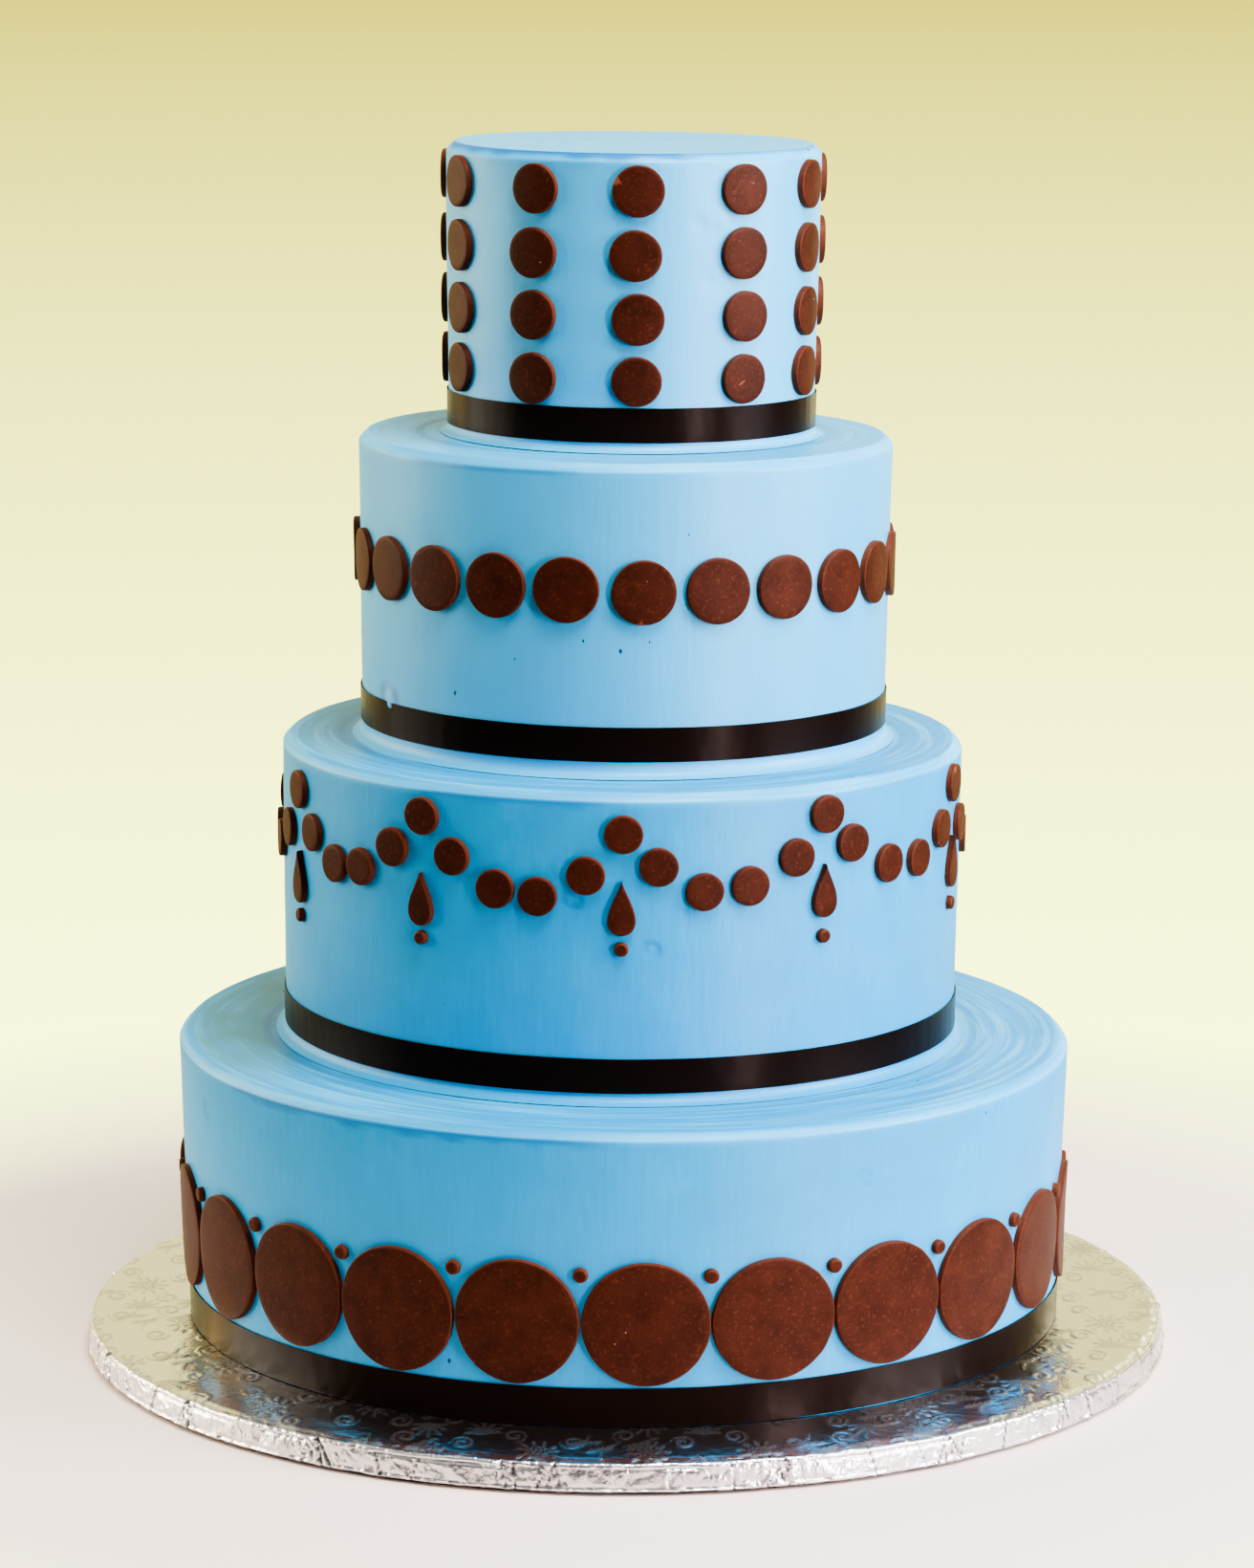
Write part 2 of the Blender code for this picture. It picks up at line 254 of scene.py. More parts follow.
def sculptTier(tier, mesh):
    size = tierSizes[tier]
    seed = tierSeeds[tier]
    height, rim, cove = size["height"], size["rim"], size["cove"]
    mesh.attributes.new("strokePlace", "FLOAT_VECTOR", "POINT")
    for name in ("topShare", "deepShare", "paintedLightShare", "paintedShadeShare"):
        mesh.attributes.new(name, "FLOAT", "POINT")
    strokePlace, topShare, deepShare, paintedLightShare, paintedShadeShare = (
        mesh.attributes[name] for name in ("strokePlace", "topShare", "deepShare", "paintedLightShare", "paintedShadeShare"))
    for vertex in mesh.vertices:
        x, y, z = vertex.co
        radius = math.hypot(x, y)
        angle = math.atan2(x, -y)
        turn = math.degrees(angle)
        side, front = math.sin(angle), -math.cos(angle)
        onTop = smoothStep(height - 1.1 * rimBevel, height - 0.2 * rimBevel, z)
        along = z if onTop < 0.5 else height + rim - radius
        strokePlace.data[vertex.index].vector = (rim * side, rim * front, along + seed)
        topShare.data[vertex.index].value = onTop
        place = Vector((rim * side, rim * front, z + seed))
        out = wallSwell(tier, angle, z)
        out += icingUneven["lump"] * noise.noise(place * 45)
        out += icingUneven["streak"] * noise.noise(Vector((place.x * 420, place.y * 420, place.z * 12)))
        nearRim = bell(z, height, icingMarks["nearRim"])
        out += nearRim * icingUneven["ragged"] * noise.noise(Vector((place.x * 90, place.y * 90, seed)))
        rise, smeared = smearOf(tier, turn, z, place)
        out = (out + rise) * smoothStep(0.75 * rim, 0.95 * rim, radius)
        # shares of deeper blue, painted light and painted shade, kept on the points for the material
        deep, pale, paintedShade = colourShares(tier, turn, z, radius, onTop, place)
        deepShare.data[vertex.index].value = max(deep, smeared)
        paintedLightShare.data[vertex.index].value = pale
        paintedShadeShare.data[vertex.index].value = paintedShade
        if z < cove:
            flare = 1.0
            if tier == "bottom_tier":  # the foot shows under the ribbon only at the right front
                flare = 0.2 + 0.6 * bell(turn, 33, 14)
            out += flare * cove * (1 - math.sqrt(max(0.0, 1 - ((cove - z) / cove) ** 2)))
        up = icingUneven["topSwell"] * noise.noise(Vector((x * 14, y * 14, seed)))
        up += icingUneven["topStroke"] * noise.noise(Vector((place.x * 12, place.y * 12, radius * 330)))
        radius += out
        co = Vector((radius * side, radius * front, z + up * onTop))
        vertex.co = settle(tier, co)
    mesh.transform(standOf(tier))


def modelTier(tier):
    size = tierSizes[tier]
    height, rim, foot, cove = size["height"], size["rim"], size["foot"], size["cove"]
    deselectAll()
    bpy.ops.mesh.primitive_cylinder_add(vertices=size["around"], radius=rim, depth=height,
                                        location=(0, 0, height / 2))
    piece = startPiece(tier.replace("tier", "icing"))
    pick("VERT", lambda vert: vert.co.z < 0.001)
    bpy.ops.transform.resize(value=(foot / rim, foot / rim, 1), center_override=(0, 0, 0))
    pick("EDGE", lambda edge: isFlat(edge, height))  # the rim, scraped to a slanted band
    bpy.ops.mesh.bevel(offset=rimBevel, segments=1, affect="EDGES")
    pick("EDGE", lambda edge: isFlat(edge, height) or isFlat(edge, edge.verts[0].co.z)
         and height - 1.5 * rimBevel < edge.verts[0].co.z < height)
    bpy.ops.mesh.bevel(offset=0.0008, segments=3, affect="EDGES")
    bpy.ops.mesh.select_all(action="SELECT")
    bpy.ops.mesh.bisect(plane_co=(0, 0, height - 0.5 * rimBevel), plane_no=(0, 0, 1))
    for share in (0.2, 0.45, 0.7, 1.0):  # rows for the small cove at the foot
        bpy.ops.mesh.select_all(action="SELECT")
        bpy.ops.mesh.bisect(plane_co=(0, 0, cove * share), plane_no=(0, 0, 1))
    pick("EDGE", lambda edge: abs(edge.verts[0].co.z - edge.verts[1].co.z) > 0.05)
    bpy.ops.mesh.subdivide(number_cuts=size["wallRows"])
    pick("FACE", lambda face: len(face.verts) > 10 and face.normal.z > 0.5)
    bpy.ops.mesh.inset(thickness=rim - rimBevel - size["topInner"], depth=0)
    pick("EDGE", lambda edge: isFlat(edge, height) and edge.calc_length() > 0.02)
    bpy.ops.mesh.subdivide(number_cuts=size["topRows"])
    pick("FACE", lambda face: len(face.verts) > 10 and face.normal.z > 0.5)
    bpy.ops.mesh.poke()
    bpy.ops.object.mode_set(mode="OBJECT")
    sculptTier(tier, piece.data)
    finishPiece(piece, "blue_icing", tier, smooth=50)
    print("tier", tier, len(piece.data.polygons))


# Chocolate pieces

chocolateSize = {"thickness": 0.0030, "pressed": 0.0012, "inIcing": 0.0004}
bigDisc = {"radius": 0.0282, "height": 0.0475, "count": 22, "first": 2.8, "crowding": -1.9,
           "sides": 88, "rings": 7, "edge": 0.0007}
middleDisc = {"radius": 0.0147, "height": 0.0842, "count": 23, "first": 3.9, "crowding": 0.5, "droop": 0.0009,
              "sides": 64, "rings": 5, "edge": 0.0006}
bead = {"radius": 0.0034, "height": 0.0692, "sides": 28, "rings": 2, "edge": 0.0011}
smallDisc = {"radius": 0.0114, "rows": (0.0322, 0.0598, 0.0880, 0.1172),
             "columns": (-98.0, -65.6, -30.8, 1.1, 35.2, 66.4, 99.5, 132.0, 164.5, 197.0, 229.5),
             "sides": 56, "rings": 4, "edge": 0.0006}
swagDisc = {"radius": 0.0087, "across": 0.0156, "sag": 0.0115, "sides": 48, "rings": 3, "edge": 0.0006,
            "centres": (-102.3, -67.4, -34.0, 0.1, 34.6, 72.2, 109.3, 146.4, 183.5, 220.6)}
drop = {"radius": 0.0060, "width": 0.0123, "length": 0.0243, "sides": 48, "rings": 3, "edge": 0.0006}
dropBead = {"radius": 0.0032, "sides": 28, "rings": 2, "edge": 0.0010}
swagHeights = {"top": 0.1246, "left": 0.1070, "right": 0.1080, "drop": 0.0882, "bead": 0.0693}
swagHeightsByHand = {  # the motifs at the front sit a little unevenly
    -67.4: {"top": 0.1224, "left": 0.1031, "right": 0.1053, "drop": 0.0822, "bead": 0.0642},
    -34.0: {"top": 0.1244, "left": 0.1090, "right": 0.1086, "drop": 0.0871, "bead": 0.0695},
    0.1: {"top": 0.1223, "left": 0.1040, "right": 0.1077, "drop": 0.0891, "bead": 0.0707},
    34.6: {"top": 0.1273, "left": 0.1095, "right": 0.1131, "drop": 0.0925, "bead": 0.0718},
    72.2: {"top": 0.1267, "left": 0.1085, "right": 0.1063, "drop": 0.0900, "bead": 0.0704},
}


def modelRound(name, shape):
    # a flat round cut from rolled chocolate, with a softened edge and enough rings to bend
    thick = chocolateSize["thickness"]
    deselectAll()
    bpy.ops.mesh.primitive_cylinder_add(vertices=shape["sides"], radius=shape["radius"], depth=thick,
                                        location=(0, 0, thick / 2))
    piece = startPiece(name)
    pick("EDGE", lambda edge: isFlat(edge, thick))
    bpy.ops.mesh.bevel(offset=shape["edge"], segments=3, affect="EDGES")
    for facing in (1, -1):
        pick("FACE", lambda face: len(face.verts) > 10 and face.normal.z * facing > 0.5)
        bpy.ops.mesh.inset(thickness=shape["radius"] * 0.84 - (shape["edge"] if facing > 0 else 0), depth=0)
        level = thick if facing > 0 else 0
        pick("EDGE", lambda edge: isFlat(edge, level) and edge.calc_length() > 0.5 * shape["radius"])
        bpy.ops.mesh.subdivide(number_cuts=shape["rings"])
        pick("FACE", lambda face: len(face.verts) > 10 and face.normal.z * facing > 0.5)
        bpy.ops.mesh.poke()
    bpy.ops.object.mode_set(mode="OBJECT")
    return piece


def unevenCircle(radius):
    oval, ovalTurn = hand.uniform(0.002, 0.010), hand.uniform(0.0, math.pi)
    lump, lumpTurn = hand.uniform(0.0, 0.004), hand.uniform(0.0, math.tau)

    def outline(angle):
        reach = radius * (1 + oval * math.cos(2 * (angle - ovalTurn)) + lump * math.cos(3 * angle - lumpTurn))
        return reach * math.sin(angle), reach * math.cos(angle)

    return outline


def teardrop(width, length):
    def outline(angle):
        return 0.42 * width * math.sin(angle) * (1 - math.cos(angle)) ** 0.8, 0.5 * length * math.cos(angle)

    return outline


def pressOnWall(pattern, shape, name, tier, outline, angle, height, pressed):
    # copies the flat piece and bends it round the wall
    piece = pattern.copy()
    piece.data = pattern.data.copy()
    piece.name = name
    piece.data.name = name
    bpy.context.scene.collection.objects.link(piece)
    turn = math.radians(angle)
    around = wallRadius(tier, height)
    thick = chocolateSize["thickness"]
    swell = wallSwell(tier, turn, height)
    seed = 7.3 * turn + 90 * height
    for vertex in piece.data.vertices:
        x, y, out = vertex.co
        share = math.hypot(x, y) / shape["radius"]
        across, up = outline(math.atan2(x, y))
        rough = 1 + 0.006 * noise.noise(Vector((across * 260, up * 260, seed)))
        across *= share * rough
        up *= share * rough
        wave = noise.noise(Vector((across * 55, up * 55, seed))) * 0.00022 * smoothStep(0, thick, out)
        out = out * (thick + pressed) / thick - pressed + wave
        radius = wallRadius(tier, height + up) + swell + out
        spot = turn + across / around
        co = Vector((radius * math.sin(spot), -radius * math.cos(spot), height + up))
        vertex.co = settle(tier, co)
    piece.data.transform(standOf(tier))
    return piece


def spreadAngles(row):
    for index in range(row["count"]):
        turn = index * math.tau / row["count"]
        yield row["first"] + math.degrees(turn) + row["crowding"] * math.sin(turn)


def layBigDiscs():
    pattern = modelRound("big_disc_pattern", bigDisc)
    for index, angle in enumerate(spreadAngles(bigDisc)):
        radius = bigDisc["radius"] + hand.uniform(-0.0002, 0.0002)
        height = bigDisc["height"] + hand.uniform(-0.0002, 0.0008)
        name = f"big_disc_{index + 1:02d}"
        piece = pressOnWall(pattern, bigDisc, name.replace("disc", "round"), "bottom_tier",
                            unevenCircle(radius), angle, height, chocolateSize["inIcing"])
        finishPiece(piece, "chocolate", name)
    bpy.data.objects.remove(pattern)
    print("big discs", bigDisc["count"])


def layMiddleDiscs():
    pattern = modelRound("middle_disc_pattern", middleDisc)
    for index, angle in enumerate(spreadAngles(middleDisc)):
        radius = middleDisc["radius"] + hand.uniform(-0.0003, 0.0003)
        droop = middleDisc["droop"] * math.sin(math.radians(angle))
        height = middleDisc["height"] - droop + hand.uniform(-0.0005, 0.0005)
        name = f"middle_disc_{index + 1:02d}"
        piece = pressOnWall(pattern, middleDisc, name.replace("disc", "round"), "second_tier",
                            unevenCircle(radius), angle + hand.uniform(-0.3, 0.3), height,
                            chocolateSize["inIcing"])
        finishPiece(piece, "chocolate", name)
    bpy.data.objects.remove(pattern)
    print("middle discs", middleDisc["count"])


def layBeads():
    pattern = modelRound("bead_pattern", bead)
    angles = list(spreadAngles(bigDisc))
    pieces = []
    for left, right in zip(angles, angles[1:] + [angles[0] + 360]):
        outline = unevenCircle(bead["radius"])
        height = bead["height"] + hand.uniform(-0.0008, 0.0008)
        pieces.append(pressOnWall(pattern, bead, "bead", "bottom_tier", outline, (left + right) / 2, height,
                                  chocolateSize["pressed"]))
    bpy.data.objects.remove(pattern)
    finishPiece(joinPieces(pieces, "beads"), "chocolate", "bottom_tier")
    print("beads", len(angles))


def swagPlaces():
    side = math.degrees(swagDisc["across"] / tierSizes["third_tier"]["foot"])
    centres = swagDisc["centres"]
    for centre, nextCentre in zip(centres, centres[1:] + (centres[0] + 360,)):
        here = swagHeightsByHand.get(centre, swagHeights)
        there = swagHeightsByHand.get(nextCentre, swagHeights)
        yield centre, here["top"]
        yield centre - side, here["left"]
        yield centre + side, here["right"]
        start, end = centre + side, nextCentre - side
        for share in (1 / 3, 2 / 3):
            height = here["right"] + (there["left"] - here["right"]) * share
            yield start + (end - start) * share, height - swagDisc["sag"]


def laySwags():
    pressed = chocolateSize["pressed"]
    pattern = modelRound("swag_pattern", swagDisc)
    pieces = []
    for angle, height in swagPlaces():
        radius = swagDisc["radius"] + hand.uniform(-0.0002, 0.0002)
        outline = unevenCircle(radius)
        turned = angle + hand.uniform(-0.3, 0.3)
        raised = height + hand.uniform(-0.0006, 0.0006)
        pieces.append(pressOnWall(pattern, swagDisc, "swag_disc", "third_tier", outline, turned, raised,
                                  pressed))
    bpy.data.objects.remove(pattern)
    finishPiece(joinPieces(pieces, "swag_discs"), "chocolate", "third_tier")
    dropPattern = modelRound("drop_pattern", drop)
    beadPattern = modelRound("drop_bead_pattern", dropBead)
    drops, beads = [], []
    for centre in swagDisc["centres"]:
        heights = swagHeightsByHand.get(centre, swagHeights)
        drops.append(pressOnWall(dropPattern, drop, "drop", "third_tier",
                                 teardrop(drop["width"], drop["length"]), centre, heights["drop"], pressed))
        beads.append(pressOnWall(beadPattern, dropBead, "drop_bead", "third_tier",
                                 unevenCircle(dropBead["radius"]), centre, heights["bead"], pressed))
    bpy.data.objects.remove(dropPattern)
    bpy.data.objects.remove(beadPattern)
    finishPiece(joinPieces(drops, "drops"), "chocolate", "third_tier")
    finishPiece(joinPieces(beads, "drop_beads"), "chocolate", "third_tier")
    print("swags", len(drops))


def laySmallDiscs():
    pattern = modelRound("small_disc_pattern", smallDisc)
    pieces = []
    for column in smallDisc["columns"]:
        for row in smallDisc["rows"]:
            radius = smallDisc["radius"] + hand.uniform(-0.0003, 0.0003)
            outline = unevenCircle(radius)
            angle = column + hand.uniform(-0.6, 0.6)
            height = row + hand.uniform(-0.0003, 0.0008)
            pieces.append(pressOnWall(pattern, smallDisc, "small_disc", "top_tier", outline, angle, height,
                                      chocolateSize["pressed"]))
    bpy.data.objects.remove(pattern)
    finishPiece(joinPieces(pieces, "small_discs"), "chocolate", "top_tier")
    print("small discs", len(smallDisc["columns"]) * len(smallDisc["rows"]))


# Satin ribbon round each foot

ribbon = {"width": 0.0156, "thickness": 0.0005, "overlap": 0.014, "step": 0.0016, "rows": 8}
ribbonDrop = {"bottom_tier": 0.0022}  # it hangs a little lower here, almost to the foil
ribbonLift = {"bottom_tier": 0.0022, "third_tier": 0.0050, "second_tier": 0.0073, "top_tier": 0.0044}


def modelRibbon(tier):
    foot = tierSizes[tier]["foot"]
    length = math.tau * foot + ribbon["overlap"]
    steps = round(length / ribbon["step"])
    deselectAll()
    bpy.ops.mesh.primitive_grid_add(x_subdivisions=steps, y_subdivisions=ribbon["rows"], size=1)
    piece = startPiece(tier.replace("tier", "satin"))
    bpy.ops.object.mode_set(mode="OBJECT")
    seed = tierSeeds[tier]
    for vertex in piece.data.vertices:
        share, across = vertex.co.x + 0.5, vertex.co.y + 0.5
        turn = math.pi + (share * length - ribbon["overlap"] / 2) / foot
        up = ribbonLift[tier] + across * ribbon["width"] - (1 - across) * ribbonDrop.get(tier, 0.0)
        up += 0.00012 * noise.noise(Vector((math.cos(turn) * 5, math.sin(turn) * 5, seed)))
        over = smoothStep(length - 2.2 * ribbon["overlap"], length - 1.1 * ribbon["overlap"], share * length)
        radius = wallRadius(tier, up) + wallSwell(tier, turn, up) + touchGap + over * 0.0007
        radius += 0.00008 * noise.noise(Vector((math.cos(turn) * 30, math.sin(turn) * 30, seed + up * 60)))
        co = Vector((radius * math.sin(turn), -radius * math.cos(turn), up))
        vertex.co = settle(tier, co)
    piece.data.transform(standOf(tier))
    deselectAll()
    piece.select_set(True)
    bpy.context.view_layer.objects.active = piece
    thickness = piece.modifiers.new("Thickness", "SOLIDIFY")
    thickness.thickness = ribbon["thickness"]
    thickness.offset = 1
    bpy.ops.object.modifier_apply(modifier="Thickness")
    finishPiece(piece, "satin_ribbon", tier.replace("tier", "ribbon"), smooth=40)
    print("ribbon", tier, len(piece.data.polygons))


# Foil board

board = {"radius": 0.2542, "bulge": 0.0016, "thickness": 0.0151, "edgeRound": 0.0016, "around": 1500,
         "inner": 0.2030, "topRows": 39, "edgeRows": 15}
emboss = {"spacing": 0.040, "depth": 0.00036, "line": 0.0010, "step": 0.00045, "stretch": (1.2, 1.9)}
foilFolds = {"pleats": 58, "fans": 20, "crumple": 0.00050, "cell": 0.0085, "wave": 0.0005, "ripple": 0.00035,
             "swell": 0.00012, "sag": 0.0010, "ridge": 0.00042, "groove": 0.00062}
foilTurns = {  # rounds of the edge where the foil turns: middle height, half width, how far it stands out
    "hem": (0.0019, 0.0008, 0.0005), "overHem": (0.0034, 0.0007, -0.0007),
    "underRim": (0.0121, 0.0007, -0.0009), "undercut": (0, 0.0012, -0.0042),
}


def strokePoints(points, width, strength):
    # a pressed line as closely spaced dots: thickest in the middle, fading to its ends
    dots = []
    for index, (start, end) in enumerate(zip(points, points[1:])):
        count = max(1, round((end - start).length / emboss["step"]))
        for step in range(count):
            share = (index + step / count) / (len(points) - 1)
            taper = 0.35 + 0.65 * math.sin(math.pi * share)
            dots.append((start.lerp(end, step / count), width * taper, strength))
    return dots


def scrollLine(centre, turn, size, curl):
    points = []
    for step in range(26):
        share = step / 25
        angle = turn + curl * share * 1.55 * math.tau
        reach = size * (1 - 0.86 * share)
        points.append(centre + Vector((math.cos(angle), math.sin(angle))) * reach)
    return strokePoints(points, emboss["line"], 1.0)


def leafLine(base, turn, length, curl, width):
    points = []
    place, heading = base.copy(), turn
    for _ in range(9):
        points.append(place.copy())
        place += Vector((math.cos(heading), math.sin(heading))) * length / 8
        heading += curl / 8
    return strokePoints(points, width, 0.9)


def palmette(base, turn, size):
    dots = []
    for place in range(-3, 4):
        length = size * (1 - 0.10 * abs(place))
        dots += leafLine(base, turn + place * 0.34, length, place * 0.36, emboss["line"] * 1.25)
    return dots


def blossom(centre, size, pattern):
    # a seed head of small raised dots inside a ring of petals
    dots = []
    for index in range(26):
        angle, reach = index * 2.39996, size * 0.62 * math.sqrt((index + 0.5) / 26)
        dots.append((centre + Vector((math.cos(angle), math.sin(angle))) * reach, 0.0009, 1.25))
    for index in range(11):
        turn = index * math.tau / 11 + pattern.uniform(-0.1, 0.1)
        start = centre + Vector((math.cos(turn), math.sin(turn))) * size * 0.68
        dots += leafLine(start, turn, size * 0.42, 0.3, 0.0013)
    return dots


def trailingLeaves(base, turn, size, side):
    dots = leafLine(base, turn, size * 1.5, side * 1.6, emboss["line"])
    for step in range(5):
        start = base + Vector((math.cos(turn), math.sin(turn))) * size * (0.2 + 0.22 * step)
        length = size * (0.62 - 0.07 * step)
        dots += leafLine(start, turn + side * 0.9, length, -side * 0.9, emboss["line"] * 1.2)
    return dots


def embossedDots():
    # a common floral ornament laid out in staggered rows, as on a roll of foil
    pattern = random.Random(5)
    spacing = emboss["spacing"]
    wide, deep = emboss["stretch"]
    dots = []
    rows = math.ceil((board["radius"] + 0.04) / spacing)
    for row in range(-rows, rows + 1):
        for column in range(-rows, rows + 1):
            centre = Vector((column + 0.5 * (row % 2) + 0.2, row * 0.866 + 0.3)) * spacing
            reach = math.hypot(centre.x * wide, centre.y * deep)
            if not board["inner"] - 0.06 < reach < board["radius"] + 0.07:
                continue
            flip = 1 if (row + column) % 2 else -1
            dots += blossom(centre, 0.0075, pattern)
            for turn in (0.5, 2.2, 3.9, 5.4):
                way = Vector((math.cos(turn), math.sin(turn)))
                dots += scrollLine(centre + way * 0.0145, turn + math.pi * 0.8, 0.0048, flip)
            dots += palmette(centre + Vector((0.0, -0.0215 * flip)), flip * math.pi / 2, 0.0110)
            dots += trailingLeaves(centre + Vector((0.0095 * flip, 0.0030)), 0.4 - flip * 0.2, 0.0110, flip)
            dots += trailingLeaves(centre + Vector((-0.0100, -0.0060 * flip)), 3.5, 0.0100, -flip)
    return dots


def embossedTree():
    dots = embossedDots()
    tree = kdtree.KDTree(len(dots))
    for index, (place, width, strength) in enumerate(dots):
        tree.insert((place.x, place.y, 0), index)
    tree.balance()
    return tree, dots


def pressedHeight(tree, dots, x, y):
    height = 0.0
    x, y = x / emboss["stretch"][0], y / emboss["stretch"][1]
    for place, index, distance in tree.find_range((x, y, 0), 0.0016):
        width, strength = dots[index][1:]
        if distance < width:
            height = max(height, strength * (1 - (distance / width) ** 2))
    return height


def crumple(x, y, cell, seed):
    # creased paper: the upper envelope of small tilted planes
    distances, places = noise.voronoi(Vector((x / cell, y / cell, seed)), distance_metric="DISTANCE")
    best = -9.0
    for distance, place in zip(distances, places):
        tilt = noise.cell_vector(place * 7.31)
        slope = (x / cell - place.x) * (tilt.x - 0.5) * 2.2 + (y / cell - place.y) * (tilt.y - 0.5) * 2.2
        best = max(best, slope - 0.9 * distance)
    return best


def foldLines():
    # creases on the edge: start, end, width and depth; a place is metres round the rim and up from the table
    folds = random.Random(12)
    around = math.tau * board["radius"]
    thick = board["thickness"]
    lines = []
    for index in range(foilFolds["pleats"]):
        start = (index + folds.uniform(-0.35, 0.35)) * around / foilFolds["pleats"]
        slant = folds.uniform(-0.006, 0.006)
        low = folds.choice((0.0, 0.0, 0.004))
        high = folds.choice((thick, thick, thick * 0.75))
        width, depth = folds.uniform(0.0008, 0.0016), folds.uniform(0.3, 1.0)
        lines.append((start, high, start + slant, low, width, depth))
    for index in range(foilFolds["fans"]):
        start = (index + folds.uniform(-0.4, 0.4)) * around / foilFolds["fans"]
        fromTop = folds.random() < 0.65
        for spread in range(folds.choice((3, 4, 5))):
            reach = (spread - 1.5) * folds.uniform(0.0035, 0.0060)
            high, low = (thick, folds.uniform(0.0, 0.006)) if fromTop else (0.0, folds.uniform(0.008, thick))
            lines.append((start, high, start + reach, low, folds.uniform(0.0008, 0.0014),
                          folds.uniform(0.5, 1.1)))
    return lines


def foldHeight(lines, around, along, up):
    out = 0.0
    for startAlong, startUp, endAlong, endUp, width, depth in lines:
        near = (along - startAlong + around / 2) % around - around / 2
        if abs(near) > 0.030:
            continue
        length = Vector((endAlong - startAlong, endUp - startUp))
        offset = Vector((near, up - startUp))
        share = min(1.0, max(0.0, offset.dot(length) / length.length_squared))
        beyond = (offset - length * share).length
        side = (offset.x * length.y - offset.y * length.x) / length.length
        if beyond > 4 * width:
            continue
        if side > 0:
            out += foilFolds["ridge"] * depth * bell(beyond, 0, 1.6 * width)
        else:
            out -= foilFolds["groove"] * depth * bell(beyond, 0, 0.8 * width)
    return out


def modelBoard():
    radius, thick = board["radius"], board["thickness"]
    deselectAll()
    bpy.ops.mesh.primitive_cylinder_add(vertices=board["around"], radius=radius, depth=thick,
                                        location=(0, 0, thick / 2))
    piece = startPiece("foil_board")
    pick("EDGE", lambda edge: isFlat(edge, thick) or isFlat(edge, 0))
    bpy.ops.mesh.bevel(offset=board["edgeRound"], segments=3, affect="EDGES")
    pick("EDGE", lambda edge: abs(edge.verts[0].co.z - edge.verts[1].co.z) > 0.005)
    bpy.ops.mesh.subdivide(number_cuts=board["edgeRows"])
    pick("FACE", lambda face: len(face.verts) > 10 and face.normal.z > 0.5)
    bpy.ops.mesh.inset(thickness=radius - board["edgeRound"] - board["inner"], depth=0)
    pick("EDGE", lambda edge: isFlat(edge, thick) and edge.calc_length() > 0.02)
    bpy.ops.mesh.subdivide(number_cuts=board["topRows"])
    bpy.ops.object.mode_set(mode="OBJECT")
    wrapFoil(piece.data)
    finishPiece(piece, "silver_foil", "board", smooth=60)
    print("board", len(piece.data.polygons))


def wrapFoil(mesh):
    # presses the ornament into the foil and crinkles it over the edge
    radius, thick = board["radius"], board["thickness"]
    around = math.tau * radius
    tree, dots = embossedTree()
    lines = foldLines()
    for name in ("pressed", "onEdge", "paintedCreaseAndFootShade"):
        mesh.attributes.new(name, "FLOAT", "POINT")
    pressed, onEdge, paintedCreaseAndFootShade = (mesh.attributes[name] for name in ("pressed", "onEdge", "paintedCreaseAndFootShade"))
    for vertex in mesh.vertices:
        x, y, z = vertex.co
        flat = math.hypot(x, y)
        if flat < board["inner"] - 0.001 or z < 0.00001:
            continue
        angle = math.atan2(x, -y)
        side, front = math.sin(angle), -math.cos(angle)
        edgeShare = smoothStep(radius - 0.0022, radius - 0.0002, flat)
        unrolled = flat + (thick - z)
        height = pressedHeight(tree, dots, unrolled * side, unrolled * front)
        height *= smoothStep(board["inner"] + 0.0030, board["inner"] + 0.0060, flat)
        pressed.data[vertex.index].value = height
        onEdge.data[vertex.index].value = edgeShare
        along = (angle % math.tau) * radius
        crumpled = crumple(radius * side, radius * front + z * 1.7, foilFolds["cell"], 3.3)
        fold = foldHeight(lines, around, along, z)
        # painted shadow along the foot of the edge where it meets the table, and painted shade in the fold
        # grooves
        paintedFootShadow = smoothStep(0.0015, 0.0007, z)
        paintedCreaseAndFootShade.data[vertex.index].value = max(smoothStep(-0.00006, -0.00042, fold), paintedFootShadow) * edgeShare
        out = foilFolds["crumple"] * (crumpled + 0.55) + fold
        out += foilFolds["wave"] * noise.noise(Vector((side * 9, front * 9, 4.0)))
        loose = {"overHem": smoothStep(-0.05, 0.1, noise.noise(Vector((side * 20, front * 20, 9.0)))),
                 "underRim": smoothStep(-0.10, 0.12, noise.noise(Vector((side * 7, front * 7, 12.0))))}
        for name, (middle, width, stand) in foilTurns.items():
            out += loose.get(name, 1) * stand * bell(z, middle, width)
        spread = board["bulge"] * (1 - z / thick)
        flat += (spread + out) * edgeShare + height * emboss["depth"] * 0.6 * edgeShare
        up = height * emboss["depth"] * (1 - edgeShare)
        ripple = foilFolds["ripple"] * noise.noise(Vector((side * 22, front * 22, flat * 25)))
        up += ripple * smoothStep(0.2350, radius, flat)
        up += foilFolds["swell"] * noise.noise(Vector((x * 60, y * 60, 2.0)))
        inRim = radius - 0.0050 - 0.0020 * noise.noise(Vector((side * 30, front * 30, 6.0)))
        up -= foilFolds["sag"] * smoothStep(inRim, radius - 0.0005, flat)
        vertex.co = (flat * side, flat * front, z + up * smoothStep(0.5 * thick, thick, z))


# Materials

materials = {}


def newMaterial(name):
    made = bpy.data.materials.new(name)
    made.use_nodes = True
    materials[name] = made
    return made.node_tree, made.node_tree.nodes["Principled BSDF"]


def addNode(tree, kind, **values):
    node = tree.nodes.new(kind)
    for key, value in values.items():
        if key in node.inputs:
            node.inputs[key].default_value = value
        else:
            setattr(node, key, value)
    return node


